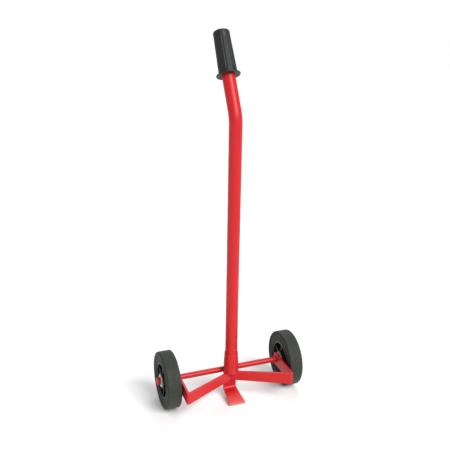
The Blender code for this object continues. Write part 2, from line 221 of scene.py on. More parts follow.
# %% [markdown]
# ## The toe's coat, scuffed on top with a painted highlight, and worn through at the tip
#
# The toe is pushed under loads over a rough floor, so its coat is the first to go. Its upper face turns pale
# and dull towards the tip. This is partly scuffs where loads rub it, and partly a painted highlight: a pale
# pink that stands in for the light its upper face catches. At the tip and the sole bare steel shows. It is
# the same coat with two more layers. Noise that is stretched along the toe, the way that it is pushed, breaks
# each layer into scratches.
#
# Two masks say where. One grows towards the tip, and one towards the floor. Bare steel changes colour,
# metallic and roughness at the same places, so one mask feeds all three. Real scratches are 0.2 mm wide,
# and these are 1.4 mm, or none would show.

# %% Scuffed and worn powder coat
# A pale pink for scuffs, which also serves as a painted highlight on the toe towards its tip.
RED_SCUFFED_HIGHLIT = "#DC6B65"
STEEL_BARE = "#A9A5A0"
TOE_TIP_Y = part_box("lifting_toe")[0].y
SCUFFED_HIGHLIT_LENGTH = 75 * MM
WORN_LENGTH = 16 * MM
SCRATCH = (1.4, 20, 4)  # mm across, along and up the toe

# The same red gone pale and streaky towards the tip, as scuffs with a painted highlight in them, with a line
# of bright steel where it meets the floor.
WORN_HIGHLIT_COAT = powder_coat("red_powder_coat_worn_and_highlit")
shader = WORN_HIGHLIT_COAT.node_tree.nodes["Principled BSDF"]
painted = {name: shader.inputs[name].links[0].from_socket for name in ("Base Color", "Roughness")}
place = add(WORN_HIGHLIT_COAT, "TexCoord", {}).outputs["Object"]
split = add(WORN_HIGHLIT_COAT, "SeparateXYZ", {"Vector": place})
stretched = add(WORN_HIGHLIT_COAT, "Mapping", {"Vector": place, "Scale": tuple(every(size) for size in SCRATCH)})
scratches = add(
    WORN_HIGHLIT_COAT, "TexNoise", {"Vector": stretched.outputs["Vector"], "Scale": 1.0, "Detail": 4.0}
).outputs["Fac"]


def near_tip(length, most):
    """A mask that grows from nothing to its most over a length that ends at the toe's tip."""
    span = {"From Min": TOE_TIP_Y + length, "From Max": TOE_TIP_Y, "To Max": most}
    return add(WORN_HIGHLIT_COAT, "MapRange", {"Value": split.outputs["Y"], **span}).outputs["Result"]


# Scuffs that grow towards the tip. Their pale pink is also a painted highlight, standing in for light on the
# toe's upper face.
rubbed = add(WORN_HIGHLIT_COAT, "Math", {0: near_tip(SCUFFED_HIGHLIT_LENGTH, 0.7), 1: scratches}, operation="MULTIPLY")
scuffed_and_highlit = add(
    WORN_HIGHLIT_COAT, "MapRange", {"Value": rubbed.outputs[0], "From Min": 0.1, "From Max": 0.4, "To Max": 0.85}
).outputs["Result"]
tone = add(
    WORN_HIGHLIT_COAT, "Mix", {0: scuffed_and_highlit, 6: painted["Base Color"], 7: colour(RED_SCUFFED_HIGHLIT)}, data_type="RGBA"
).outputs[2]
sole = add(WORN_HIGHLIT_COAT, "MapRange", {"Value": split.outputs["Z"], "From Min": 4 * MM, "From Max": 0.0})
where = add(WORN_HIGHLIT_COAT, "Math", {0: near_tip(WORN_LENGTH, 0.42), 1: sole.outputs["Result"]}, operation="ADD")
marks = add(WORN_HIGHLIT_COAT, "Math", {0: where.outputs[0], 1: scratches}, operation="MULTIPLY").outputs[0]
bare = add(WORN_HIGHLIT_COAT, "MapRange", {"Value": marks, "From Min": 0.24, "From Max": 0.3}).outputs["Result"]
tone = add(WORN_HIGHLIT_COAT, "Mix", {0: bare, 6: tone, 7: colour(STEEL_BARE)}, data_type="RGBA").outputs[2]
feed(WORN_HIGHLIT_COAT, "Base Color", tone)
feed(WORN_HIGHLIT_COAT, "Metallic", bare)
dulled = add(WORN_HIGHLIT_COAT, "Mix", {0: scuffed_and_highlit, 2: painted["Roughness"], 3: 0.55}).outputs[0]
dulled = add(WORN_HIGHLIT_COAT, "Mix", {0: bare, 2: dulled, 3: 0.34}).outputs[0]
feed(WORN_HIGHLIT_COAT, "Roughness", dulled)
print("bare steel begins", WORN_LENGTH / MM, "mm from the toe's tip")

# %% [markdown]
# ## Solid rubber
#
# The tyres are moulded from black rubber filled with carbon. New rubber is dark and dull with a slight green
# cast, and a soft sheen at grazing angles. The mould was turned on a lathe, so fine rings stay on the side
# walls, and the tread picks up pale dust as it rolls. The tread also gets a lighter, greener colour than the
# side walls. This is painted light on the tread and painted shade on the side walls, for how the light falls
# on them.
#
# The wheels share one material. Each piece's coordinates start at the trolley's origin, so a Mapping node
# moves the centre to the axle and flattens X. The length of what is left is the distance from the axle,
# and it tells tread from side wall. The lathe's rings are 1.6 mm apart.

# %% Rubber
RUBBER_DARK = "#0C0D0B"
RUBBER_PALE = "#151714"
# A lighter, greener colour for the tread: painted light, set against side walls kept darker as painted shade.
RUBBER_TREAD_LIT = "#272C25"
DUST = "#424A3D"
RING_PITCH = 1.6
TYRE_RADIUS = 100 * MM

# Dull and nearly black on the side walls, as painted shade; greener and lighter on the tread, as painted
# light, with dust on it.
RUBBER = new_material(
    "moulded_rubber",
    {"Metallic": 0.0, "IOR": 1.52, "Specular IOR Level": 0.24, "Sheen Weight": 0.05, "Sheen Roughness": 0.6},
)
place = add(RUBBER, "TexCoord", {}).outputs["Object"]
centred = add(
    RUBBER, "Mapping", {"Vector": place, "Location": (0, -axle_middle.y, -axle_middle.z), "Scale": (0, 1, 1)}
)
radius = add(RUBBER, "VectorMath", {0: centred.outputs["Vector"]}, operation="LENGTH").outputs["Value"]
tread = add(
    RUBBER, "MapRange", {"Value": radius, "From Min": 0.955 * TYRE_RADIUS, "From Max": 0.994 * TYRE_RADIUS}
).outputs["Result"]
mottle = add(RUBBER, "TexNoise", {"Vector": place, "Scale": every(19), "Detail": 5.0, "Roughness": 0.6})
tone = add(
    RUBBER,
    "Mix",
    {0: mottle.outputs["Fac"], 6: colour(RUBBER_DARK), 7: colour(RUBBER_PALE)},
    data_type="RGBA",
).outputs[2]
# The tread's lighter colour is painted light, against the darker side walls.
tone = add(RUBBER, "Mix", {0: tread, 6: tone, 7: colour(RUBBER_TREAD_LIT)}, data_type="RGBA").outputs[2]
specks = add(RUBBER, "TexNoise", {"Vector": place, "Scale": every(5), "Detail": 6.0, "Roughness": 0.7})
dusty = add(
    RUBBER, "MapRange", {"Value": specks.outputs["Fac"], "From Min": 0.45, "From Max": 0.75, "To Max": 0.5}
).outputs["Result"]
dusty = add(RUBBER, "Math", {0: dusty, 1: tread}, operation="MULTIPLY").outputs[0]
tone = add(RUBBER, "Mix", {0: dusty, 6: tone, 7: colour(DUST)}, data_type="RGBA").outputs[2]
feed(RUBBER, "Base Color", tone)
dullness = add(
    RUBBER,
    "MapRange",
    {"Value": mottle.outputs["Fac"], "From Min": 0.3, "From Max": 0.7, "To Min": 0.58, "To Max": 0.72},
)
feed(RUBBER, "Roughness", dullness.outputs["Result"])
phase = add(RUBBER, "Math", {0: radius, 1: math.tau * every(RING_PITCH)}, operation="MULTIPLY").outputs[0]
rings = add(RUBBER, "Math", {0: phase}, operation="SINE").outputs[0]
side_wall = add(RUBBER, "Math", {0: 0.25, 1: tread}, operation="SUBTRACT", use_clamp=True).outputs[0]
rings = add(RUBBER, "Math", {0: rings, 1: side_wall}, operation="MULTIPLY").outputs[0]
grain = add(RUBBER, "TexNoise", {"Vector": place, "Scale": every(1.5), "Detail": 3.0}).outputs["Fac"]
height = add(RUBBER, "Math", {0: rings, 1: grain}, operation="ADD").outputs[0]
bump = add(RUBBER, "Bump", {"Height": height, "Distance": 0.25 * MM, "Strength": 0.6})
feed(RUBBER, "Normal", bump.outputs["Normal"])
print("made", RUBBER.name, "with", len(RUBBER.node_tree.nodes), "nodes")

# %% [markdown]
# ## Moulded plastics
#
# Three plastics are on the trolley, and all come out of steel moulds whose walls were spark-eroded to a
# fine grain. The rims are black polypropylene, hard and slightly waxy. The grip is a softer black PVC
# with a coarser, leather-like grain that holds dust and looks greyer. The bearings are uncoloured nylon,
# a warm off-white that lets a little light in, and its plain finish is smooth.
#
# They differ only in colours, gloss and grain, so one function makes all three. Light inside the nylon is
# a uniform value on its shader.

# %% Plastics


def moulded_plastic(name, dark, pale, gloss, grain, depth, uniform):
    """Grained plastic from a steel mould: gloss is its roughness range, grain and depth are in mm."""
    plastic = new_material(name, {"Metallic": 0.0, **uniform})
    place = add(plastic, "TexCoord", {}).outputs["Object"]
    flow = add(plastic, "TexNoise", {"Vector": place, "Scale": every(28), "Detail": 4.0, "Distortion": 0.6})
    tone = add(
        plastic, "Mix", {0: flow.outputs["Fac"], 6: colour(dark), 7: colour(pale)}, data_type="RGBA"
    ).outputs[2]
    feed(plastic, "Base Color", tone)
    low, high = gloss
    rough = add(
        plastic,
        "MapRange",
        {"Value": flow.outputs["Fac"], "From Min": 0.3, "From Max": 0.7, "To Min": low, "To Max": high},
    )
    feed(plastic, "Roughness", rough.outputs["Result"])
    pores = add(plastic, "TexVoronoi", {"Vector": place, "Scale": every(grain)}, feature="SMOOTH_F1")
    fine = add(plastic, "TexNoise", {"Vector": place, "Scale": every(grain / 2), "Detail": 2.0})
    height = add(
        plastic, "Math", {0: pores.outputs["Distance"], 1: fine.outputs["Fac"]}, operation="ADD"
    ).outputs[0]
    bump = add(plastic, "Bump", {"Height": height, "Distance": depth * MM, "Strength": 0.5})
    feed(plastic, "Normal", bump.outputs["Normal"])
    return plastic


# Deep black with a slightly waxy shine, so that the ribs show by their edges. Real grain is 0.1 to 0.3 mm
# on all three plastics, and is drawn at 1.2 to 2 mm so that it shows at all.
RIM_PLASTIC = moulded_plastic(
    "black_polypropylene", "#131514", "#1E2120", (0.38, 0.5), 1.2, 0.05, {"IOR": 1.49}
)
# A softer grey-green black, grained for the hand.
GRIP_PLASTIC = moulded_plastic(
    "grained_black_pvc",
    "#101411",
    "#1A201C",
    (0.42, 0.56),
    2.0,
    0.12,
    {"IOR": 1.53, "Specular IOR Level": 0.35},
)
# A warm off-white that glows a little, the one pale ring in the dark wheel.
BEARING_NYLON = moulded_plastic(
    "natural_nylon",
    "#C2B59C",
    "#DDD2BC",
    (0.34, 0.46),
    1.5,
    0.02,
    {
        "IOR": 1.53,
        "Subsurface Weight": 0.15,
        "Subsurface Radius": (0.002, 0.0015, 0.001),
        "Subsurface Scale": 1.0,
    },
)
print("made", RIM_PLASTIC.name, GRIP_PLASTIC.name, BEARING_NYLON.name)

# %% [markdown]
# ## Bright metals
#
# The washers and pins are zinc plated: a thin, faintly blue layer with soft cloudy patches. The hub tubes
# are bare drawn steel, greyer, with fine draw lines along their length. Both are metals, so nearly all
# that they show is the studio around them, and what sets them apart is how their roughness is laid out. A
# metal's IOR is left alone. The noise is stretched along X, the axle's way, for the draw lines.

# %% Metals


def bright_metal(name, dark, pale, gloss, cell):
    """A plated or drawn metal: cell is the size of its patches along X, Y and Z, in millimetres."""
    metal = new_material(name, {"Metallic": 1.0})
    place = add(metal, "TexCoord", {}).outputs["Object"]
    stretched = add(metal, "Mapping", {"Vector": place, "Scale": tuple(every(size) for size in cell)})
    patches = add(metal, "TexNoise", {"Vector": stretched.outputs["Vector"], "Scale": 1.0, "Detail": 4.0})
    tone = add(
        metal, "Mix", {0: patches.outputs["Fac"], 6: colour(dark), 7: colour(pale)}, data_type="RGBA"
    ).outputs[2]
    feed(metal, "Base Color", tone)
    low, high = gloss
    rough = add(
        metal,
        "MapRange",
        {"Value": patches.outputs["Fac"], "From Min": 0.3, "From Max": 0.7, "To Min": low, "To Max": high},
    )
    feed(metal, "Roughness", rough.outputs["Result"])
    bump = add(metal, "Bump", {"Height": patches.outputs["Fac"], "Distance": 0.01 * MM, "Strength": 0.4})
    feed(metal, "Normal", bump.outputs["Normal"])
    return metal


# Bright and cool, with cloudy patches.
ZINC = bright_metal("bright_zinc_plate", "#B9BDBC", "#D3D6D8", (0.28, 0.42), (3, 3, 3))
# Greyer, with fine lines along the tube.
DRAWN_STEEL = bright_metal("drawn_steel", "#8F8E8C", "#B0AFAD", (0.25, 0.4), (20, 0.8, 0.8))
print("made", ZINC.name, DRAWN_STEEL.name)

# %% [markdown]
# ## Finishing a piece
#
# Every new piece ends the same way. Its outline is put in place in the mesh, the normals are turned
# outwards, it is shaded smooth with sharp edges kept, and it rides on a body of the frame. A
# weighted-normal modifier makes the large flat faces win over the narrow rounded ones beside them, so
# that a flat bar looks flat up to its edge.
#
# The last step compares the new piece with the solid that it stands for, and prints how far their boxes
# differ.

# %% Finish a piece
SMOOTH_BELOW = math.radians(38)


def shape_box(points):
    """The lowest and highest corner of some points."""
    points = list(points)
    low = Vector([min(point[axis] for point in points) for axis in range(3)])
    high = Vector([max(point[axis] for point in points) for axis in range(3)])
    return low, high


def as_object(name, bm, finish):
    """Makes an object of a bmesh, at the origin, shaded smooth with its sharp edges kept."""
    mesh = bpy.data.meshes.new(name)
    bm.to_mesh(mesh)
    bm.free()
    mesh.materials.append(finish)
    mesh.shade_smooth()
    mesh.set_sharp_from_angle(angle=SMOOTH_BELOW)
    new = bpy.data.objects.new(name, mesh)
    bpy.context.scene.collection.objects.link(new)
    return new


def finished(piece, body, stands_for=None):
    """Puts a piece on its body, and says how well it fits the solid it stands for."""
    flat = piece.modifiers.new("flat faces stay flat", "WEIGHTED_NORMAL")
    flat.keep_sharp = True
    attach(piece, body)
    off = ""
    if stands_for:
        ours, theirs = shape_box(vert.co for vert in piece.data.vertices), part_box(stands_for)
        off = max(abs(a - b) for mine, other in zip(ours, theirs) for a, b in zip(mine, other)) / MM
        off = f", within {off:.2f} mm of {stands_for}"
        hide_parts(stands_for)
    print(f"{piece.name}: {len(piece.data.polygons)} faces{off}")
    return piece


print("edges sharper than", round(math.degrees(SMOOTH_BELOW)), "degrees stay sharp")

# %% [markdown]
# ## Turned pieces
#
# Most of the trolley's small parts are round, and so are its wheels. The quickest true way to model a
# round thing is the lathe's: draw half of its section, and turn it round an axis. A section is a list of
# corners. Each has its distance along the axis, its distance from the axis, and how far its corner is
# eased, all in millimetres.
#
# Easing is a bevel on the drawn corner, before it is turned. Every real edge is a little round, and it is
# that round that catches the light. A bevel after turning would do the same, but with thousands of edges
# to work on.

# %% Turn a section
TURNED_SIDES = 64


def turned(section, place, sides=TURNED_SIDES, ease_steps=3):
    """Spins a section round Z, then puts it in place. A section that isn't closed starts and ends on Z."""
    bm = bmesh.new()
    corners = [bm.verts.new((radius * MM, 0, along * MM)) for along, radius, _ in section]
    pairs = list(zip(corners, corners[1:]))
    if section[0][1] > 0:
        pairs.append((corners[-1], corners[0]))
    for pair in pairs:
        bm.edges.new(pair)
    for corner, (_, _, ease) in zip(corners, section):
        if ease:
            bmesh.ops.bevel(
                bm,
                geom=[corner],
                offset=ease * MM,
                offset_type="OFFSET",
                affect="VERTICES",
                segments=ease_steps,
                profile=0.5,
                material=-1,
            )
    bmesh.ops.spin(
        bm,
        geom=bm.verts[:] + bm.edges[:],
        cent=(0, 0, 0),
        axis=(0, 0, 1),
        angle=math.tau,
        steps=sides,
        use_merge=True,
    )
    bmesh.ops.remove_doubles(bm, verts=bm.verts, dist=0.005 * MM)
    bmesh.ops.transform(bm, verts=bm.verts, matrix=place)
    bmesh.ops.recalc_face_normals(bm, faces=bm.faces)
    return bm


def mirrored(half):
    """A whole section from the corners on one side of its middle."""
    return half + [(-along, radius, ease) for along, radius, ease in reversed(half)]


print("a turned piece has", TURNED_SIDES, "sides")

# %% [markdown]
# ## Tyres
#
# A solid tyre has no air in it, so its section is one thick block: a nearly flat tread, round shoulders,
# and side walls with a shallow panel between two raised bands. Where the two halves of its mould met, a
# thin seam runs round the middle of the tread. At 128 sides, each facet is 5 mm long and the outline
# looks round.

# %% Tyres
WHEEL_SIDES = 128
TYRE_HALF_SECTION = [
    (22.6, 64.0, 0.7),
    (24.4, 66.2, 0.8),
    (24.4, 70.5, 0.8),
    (23.0, 72.5, 1.2),
    (23.4, 85.5, 1.2),
    (25.0, 87.8, 0.9),
    (25.0, 99.6, 6.4),
    (0.9, 99.75, 0.3),
    (0.4, 100.0, 0.2),
]

for side, centre in WHEEL_CENTRES.items():
    bm = turned(mirrored(TYRE_HALF_SECTION), outwards(side, centre), WHEEL_SIDES, ease_steps=5)
    tyre = as_object(f"{side}_moulded_tyre", bm, RUBBER)
    finished(tyre, f"{side}_wheel", f"{side}_tyre")

# %% [markdown]
# ## Adding and cutting
#
# Some pieces are a round shape with something added or drilled: ribs, a cross hole, a notch. A Boolean
# does that as a machinist would. It is a modifier, and its result is kept as the piece's own mesh, so
# that the shape that cut it can be thrown away.

# %% Add or cut a shape


def combined(piece, bm, operation):
    """Adds the shape in bm to a piece, or cuts it out, and keeps the result as the piece's mesh."""
    other = as_object("other_shape", bm, piece.data.materials[0])
    modifier = piece.modifiers.new("combine", "BOOLEAN")
    modifier.operation = operation
    modifier.object = other
    modifier.solver = "EXACT"
    graph = bpy.context.evaluated_depsgraph_get()
    made = bpy.data.meshes.new_from_object(piece.evaluated_get(graph))
    piece.modifiers.remove(modifier)
    piece.data = made
    bpy.data.objects.remove(other)
    made.shade_smooth()
    made.set_sharp_from_angle(angle=SMOOTH_BELOW)
    return piece


print("a shape can now be added with UNION or cut out with DIFFERENCE")

# %% [markdown]
# ## Rims
#
# The rim is one moulding: a boss for the hub, a thin web, and a ring that carries the tyre, with six ribs
# on each side to stiffen the web. Plastic must leave its mould, so walls lean a little and inside corners
# are round. The small round marks on the web are from the pins that push it out.
#
# The disc is turned. A rib is a block with its top edges eased. Six of them, with the six marks, are
# turned round the axle and joined to the disc.

# %% Rims
RIM_HALF_SECTION = [
    (23.0, 18.3, 0.4),
    (23.0, 27.0, 1.2),
    (3.4, 28.2, 2.4),
    (3.0, 56.2, 2.4),
    (22.0, 57.7, 0.9),
    (22.0, 63.7, 0.7),
]
RIB_COUNT = 6
RIB_INNER, RIB_OUTER = 25.5 * MM, 59.5 * MM
RIB_HALF_WIDTH = 17 * MM
RIB_THICKNESS = 5 * MM
RIB_EASE = 1.1 * MM
MARK_PLACE = 43 * MM
MARK_RADIUS = 3.5 * MM
MARK_HALF_HEIGHT = 3.45 * MM


def block(low, high):
    """A box between two corners."""
    bm = bmesh.new()
    middle, size = (Vector(low) + Vector(high)) / 2, Vector(high) - Vector(low)
    bmesh.ops.create_cube(bm, size=1, matrix=Matrix.Translation(middle) @ Matrix.Diagonal((*size, 1)))
    return bm


def rim_ribs(place):
    """Ribs and ejector marks, round the Z axis and through the web."""
    half = RIB_THICKNESS / 2
    rib = block((RIB_INNER, -half, -RIB_HALF_WIDTH), (RIB_OUTER, half, RIB_HALF_WIDTH))
    long_edges = [edge for edge in rib.edges if abs(edge.verts[0].co.x - edge.verts[1].co.x) > RIB_THICKNESS]
    bmesh.ops.bevel(
        rib, geom=long_edges, offset=RIB_EASE, affect="EDGES", segments=3, profile=0.5, material=-1
    )
    bmesh.ops.create_cone(
        rib,
        cap_ends=True,
        segments=24,
        radius1=MARK_RADIUS,
        radius2=MARK_RADIUS,
        depth=2 * MARK_HALF_HEIGHT,
        matrix=Matrix.Rotation(math.pi / RIB_COUNT, 4, "Z") @ Matrix.Translation((MARK_PLACE, 0, 0)),
    )
    first = rib.verts[:] + rib.edges[:] + rib.faces[:]
    for number in range(1, RIB_COUNT):
        copy = bmesh.ops.duplicate(rib, geom=first)["geom"]
        verts = [item for item in copy if isinstance(item, bmesh.types.BMVert)]
        turn = Matrix.Rotation(math.tau * number / RIB_COUNT, 3, "Z")
        bmesh.ops.rotate(rib, verts=verts, cent=(0, 0, 0), matrix=turn)
    bmesh.ops.transform(rib, verts=rib.verts, matrix=place)
    return rib


for side, centre in WHEEL_CENTRES.items():
    place = outwards(side, centre)
    bm = turned(mirrored(RIM_HALF_SECTION), place, WHEEL_SIDES)
    rim = combined(as_object(f"{side}_ribbed_rim", bm, RIM_PLASTIC), rim_ribs(place), "UNION")
    finished(rim, f"{side}_wheel", f"{side}_rim")

# %% [markdown]
# ## Bearings and hub tubes
#
# Two nylon bushes slide into the ends of each hub tube and turn on the axle. Only the flange of each
# shows, a pale ring in the dark rim, so its eased outer edge matters most. The hub tube is hidden behind
# them. Its solid is already right, so it stays, and only gets its steel.

# %% Bearings and hub tubes
BUSH_SECTION = [
    (3.0, 10.2, 0.3),
    (25.8, 10.2, 0.8),
    (25.8, 21.5, 0.8),
    (23.3, 21.5, 0.3),
    (23.3, 15.2, 0.0),
    (3.0, 15.2, 0.5),
]

for side, centre in WHEEL_CENTRES.items():
    other = "left" if side == "right" else "right"
    for position, facing in (("outer", side), ("inner", other)):
        bm = turned(BUSH_SECTION, outwards(facing, centre))
        bush = as_object(f"{side}_{position}_bush", bm, BEARING_NYLON)
        finished(bush, f"{side}_wheel", f"{side}_{position}_bearing")
    tube = frame["nodes"][f"{side}_hub_tube"]
    tube.data.materials.clear()
    tube.data.materials.append(DRAWN_STEEL)
    print(tube.name, "keeps its shape and is now", DRAWN_STEEL.name)

# %% [markdown]
# ## Axle, washers, caps and pins
#
# The axle is a plain rod, sprayed with the frame. On it, going out, come a thick washer, the wheel, a
# thin washer and a domed cap, which a cross pin holds. Stamped washers have one softer edge, but at this
# size both are simply eased. The dome is a quarter of an ellipse in the section, so that it meets the
# cap's side smoothly.
#
# The frame's own solids say where each one starts and ends along the axle.

# %% Axle and what is on it
AXLE_RADIUS = 10.0
BORE = 10.3
CAP_RADIUS = 13.0
CAP_DOME = 3.0
CAP_END = 3.5
DOME_STEPS = 8
PIN_RADIUS = 1.5
PIN_HOLE = 1.8
PIN_LENGTH = 25.0
WASHERS = {"inner": 17.0, "outer": 15.5}


def along_axle(node):
    """Where a node starts and ends along the axle, in millimetres from the middle of the trolley."""
    low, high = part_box(node)
    return sorted((abs(low.x) / MM, abs(high.x) / MM))


def plain_rod(length, radius, place, ease=0.0, sides=24):
    """A rod along Z, centred on its place."""
    half = length / 2
    return turned([(-half, 0, 0), (-half, radius, ease), (half, radius, ease), (half, 0, 0)], place, sides)


def pin_place(side):
    """The middle of the cross pin, square to the axle."""
    low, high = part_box(f"{side}_cap_pin")
    return FRAME_LINE @ Matrix.Translation(((low.x + high.x) / 2, 0, 0))


length = 2 * along_axle("axle_rod")[1]
bm = plain_rod(length, AXLE_RADIUS, outwards("right", axle_middle), ease=1.0, sides=TURNED_SIDES)
axle = as_object("axle_bar", bm, POWDER_COAT)
for side in SIDES:
    combined(axle, plain_rod(PIN_LENGTH + 5, PIN_HOLE, pin_place(side)), "DIFFERENCE")
finished(axle, "frame", "axle_rod")

for side in SIDES:
    place = outwards(side, axle_middle)
    for position, radius in WASHERS.items():
        start, end = along_axle(f"{side}_{position}_washer")
        section = [(start, BORE, 0.2), (end, BORE, 0.2), (end, radius, 0.4), (start, radius, 0.4)]
        washer = as_object(f"{side}_{position}_plated_washer", turned(section, place), ZINC)
        finished(washer, "frame", f"{side}_{position}_washer")
    start, end = along_axle(f"{side}_axle_cap")
    angles = [math.pi / 2 * step / DOME_STEPS for step in range(DOME_STEPS + 1)]
    dome = []
    for angle in angles[:-1]:
        dome.append((end + CAP_DOME * (math.sin(angle) - 1), CAP_RADIUS * math.cos(angle), 0))
    section = [(end - CAP_END, 0, 0), (end - CAP_END, BORE, 0), (start, BORE, 0.3), (start, CAP_RADIUS, 0.6)]
    cap = as_object(f"{side}_domed_cap", turned(section + dome + [(end, 0, 0)], place), POWDER_COAT)
    combined(cap, plain_rod(PIN_LENGTH + 5, PIN_HOLE, pin_place(side)), "DIFFERENCE")
    finished(cap, "frame", f"{side}_axle_cap")
    pin = as_object(f"{side}_cross_pin", plain_rod(PIN_LENGTH, PIN_RADIUS, pin_place(side), ease=0.4), ZINC)
    finished(pin, "frame", f"{side}_cap_pin")

# %% [markdown]
# ## Side plates and diagonal bars
#
# These are lengths of flat bar. Hot rolling leaves the long edges of flat bar slightly round, and a saw
# cut and a quick touch of the grinder leave the ends the same way. The solids already have the right
# outline, so this starts from a copy of each. Its triangles are loose, so they are welded together first,
# and those that lie in one plane become one face. Then every sharp edge is bevelled.
#
# The faces that the bevel makes are marked in an attribute named edge, where the powder coat looks
# rubbed.

# %% Plates and bars
FLAT_BAR_EASE = 1.0 * MM
SHARP_ABOVE = math.radians(50)
FLATTEN_BELOW = math.radians(1)


def ease_edges(bm, width, segments=3):
    """Bevels every sharp edge, and marks the new faces for the coat."""
    mark = bm.faces.layers.float.new("edge")
    sharp = [edge for edge in bm.edges if edge.is_manifold and edge.calc_face_angle() > SHARP_ABOVE]
    made = bmesh.ops.bevel(
        bm, geom=sharp, offset=width, affect="EDGES", segments=segments, profile=0.5, material=-1
    )
    for face in made["faces"]:
        face[mark] = 1.0
    return bm


def eased_copy(node, width):
    """A welded, flattened copy of a CAD solid with its edges eased."""
    bm = bmesh.new()
    bm.from_mesh(frame["nodes"][node].data)
    bmesh.ops.remove_doubles(bm, verts=bm.verts, dist=0.005 * MM)
    bmesh.ops.dissolve_limit(bm, angle_limit=FLATTEN_BELOW, verts=bm.verts, edges=bm.edges)
    return ease_edges(bm, width)


for side in SIDES:
    plate = as_object(f"{side}_flat_bar_plate", eased_copy(f"{side}_side_plate", FLAT_BAR_EASE), POWDER_COAT)
    finished(plate, "frame", f"{side}_side_plate")
    bar = as_object(f"{side}_flat_bar_brace", eased_copy(f"{side}_diagonal_bar", FLAT_BAR_EASE), POWDER_COAT)
    finished(bar, "frame", f"{side}_diagonal_bar")

# %% [markdown]
# ## Lifting toe
#
# The toe is a thick flat bar. Its shank stands behind the point where the two braces meet, then it bends
# forward and flares to a wide tip, which is ground flat where it stands on the floor.
#
# It is made the way a smith makes it. A straight bar gets many cuts across, each cut is carried to its
# place along the bend, the sides are spread towards the tip, and a plane at floor level takes off what is
# below it. The braces' front faces meet 31 mm in front of the axle, which sets where the shank begins.

# %% Lifting toe
GAP = 0.3 * MM
PLATE_INNER = 185 * MM
PLATE_FRONT = 131 * MM
BAR_APEX = 31 * MM
BAR_THICKNESS = 8 * MM
TOE_THICKNESS = 11 * MM
TOE_NECK, TOE_TIP = 46 * MM, 60 * MM
TOE_INNER_BEND = 10 * MM
TOE_SLOPE = math.radians(17.0)
TOE_REACH = 90 * MM
TOE_TIP_HEIGHT = 9.5 * MM
TOE_TOP = 5.5 * MM
TOE_CUTS = 60
TOE_EASE = 1.3 * MM

bar_depth = BAR_THICKNESS * math.hypot(PLATE_INNER, PLATE_FRONT - BAR_APEX) / PLATE_INNER
shank_front = bar_depth + GAP - BAR_APEX
slope = TOE_SLOPE - FRAME_TILT
forward = Vector((0, -math.cos(slope), -math.sin(slope)))
square = Vector((0, math.sin(slope), -math.cos(slope)))
level_tip = axle_middle + Vector((0, -TOE_REACH, TOE_TIP_HEIGHT - axle_middle.z))
tip = FRAME_LINE.inverted() @ level_tip
turn_angle = math.pi / 2 - slope
corner = tip - forward * ((tip.y - shank_front) / forward.y)
bend_start = corner.z + TOE_INNER_BEND * math.tan(turn_angle / 2)
bend_centre = Vector((0, shank_front - TOE_INNER_BEND, bend_start))
middle_bend = TOE_INNER_BEND + TOE_THICKNESS / 2
shank = TOE_TOP - bend_start
arc_length = middle_bend * turn_angle
bend_end = bend_centre + square * TOE_INNER_BEND
blade = (tip - bend_end).dot(forward)


def along_toe(distance, depth):
    """A point of the toe's side view: how far along its middle line, and how deep below its upper face."""
    if distance < shank:
        return Vector((0, shank_front + depth, TOE_TOP - distance))
    angle = (distance - shank) / middle_bend
    if angle < turn_angle:
        radius = TOE_INNER_BEND + depth
        return bend_centre + Vector((0, math.cos(angle), -math.sin(angle))) * radius
    return bend_end + square * depth + forward * (distance - shank - arc_length)


bm = bmesh.new()
bmesh.ops.create_cube(bm, size=1, matrix=Matrix.Translation((0, 0.5, 0.5)))
long_edges = [edge for edge in bm.edges if abs(edge.verts[0].co.y - edge.verts[1].co.y) > 0.5]
bmesh.ops.subdivide_edges(bm, edges=long_edges, cuts=TOE_CUTS, use_grid_fill=True)
for vert in bm.verts:
    across, share, depth = vert.co
    distance = share * (shank + arc_length + blade)
    flare = max(0, (distance - shank) / (arc_length + blade)) ** 2
    vert.co = along_toe(distance, depth * TOE_THICKNESS)
    vert.co.x = across * (TOE_NECK + (TOE_TIP - TOE_NECK) * flare)
bmesh.ops.transform(bm, verts=bm.verts, matrix=FRAME_LINE)
cut = bmesh.ops.bisect_plane(
    bm,
    geom=bm.verts[:] + bm.edges[:] + bm.faces[:],
    plane_co=(0, 0, 0),
    plane_no=(0, 0, -1),
    clear_outer=True,
)
rim_edges = [item for item in cut["geom_cut"] if isinstance(item, bmesh.types.BMEdge)]
bmesh.ops.holes_fill(bm, edges=rim_edges)
bmesh.ops.recalc_face_normals(bm, faces=bm.faces)
toe = as_object("flared_toe", ease_edges(bm, TOE_EASE), WORN_HIGHLIT_COAT)
finished(toe, "frame", "lifting_toe")
print("the toe's bar is", round((shank + arc_length + blade) / MM), "mm long before it is bent")

# %% [markdown]
# ## Pole
#
# The pole is 42.4 mm steel tube, bent cold over a former. It is drawn as it is bent: a ring is pulled
# straight up, swung round the bend's centre, and pulled on to the grip. Extrude and spin do those two
# moves. Sixteen steps in the bend and 64 sides keep its outline smooth.

# %% Pole
POLE_RADIUS = 21.2 * MM
POLE_WALL = 2.6 * MM
POLE_SIDES = 64
POLE_FOOT = 20.3 * MM
CRANK_RADIUS = 90 * MM
CRANK_STEPS = 16
POLE_ABOVE_CRANK = 276 * MM


def pulled(bm, faces, offset):
    """Extrudes faces by an offset and returns the faces at the new end."""
    made = bmesh.ops.extrude_face_region(bm, geom=faces)["geom"]
    moving = [item for item in made if isinstance(item, bmesh.types.BMVert)]
    bmesh.ops.translate(bm, verts=moving, vec=offset)
    return [item for item in made if isinstance(item, bmesh.types.BMFace)]


